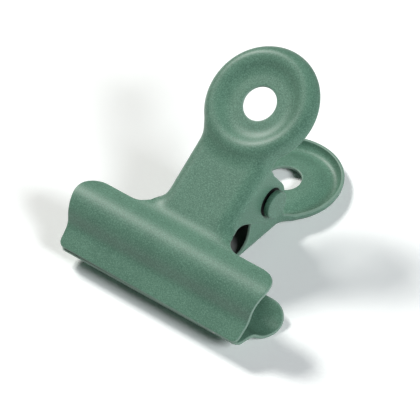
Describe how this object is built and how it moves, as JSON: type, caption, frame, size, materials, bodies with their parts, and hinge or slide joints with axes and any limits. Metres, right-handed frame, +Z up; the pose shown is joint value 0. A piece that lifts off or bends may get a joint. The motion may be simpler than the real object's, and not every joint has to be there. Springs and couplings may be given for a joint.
{
  "type": "bulldog letter clip",
  "caption": "Sprung paper clip with wide humped jaws and dished thumb pads, pressed from painted steel sheet and hinged on a cross pin.",
  "frame": {"origin": "on the surface that the clip lies on, under the middle of its bounding box", "axes": "+X along the hinge pin, +Y from the lips to the thumb pads, +Z up, from the rear leaf to the front leaf"},
  "size_m": [0.041, 0.0478, 0.0296],
  "materials": {
    "paint": "matte sage-green powder coat",
    "pin_paint": "matte sage-green powder coat",
    "spring_wire": "dark phosphated spring wire"
  },
  "bodies": {
    "rear": {"rear_leaf": "paint", "hinge_pin": "pin_paint", "torsion_spring": "spring_wire"},
    "front": {"front_leaf": "paint"}
  },
  "joints": [
    {"name": "handles_hinge", "type": "hinge", "parent": "rear", "child": "front", "pos_m": [0, 0.00097, 0.0102], "axis": [-1, 0, 0], "range_deg": [0, 66], "stiffness_Nm_per_rad": 0.08, "springref_deg": -68.75, "deforming": ["torsion_spring"]}
  ]
}
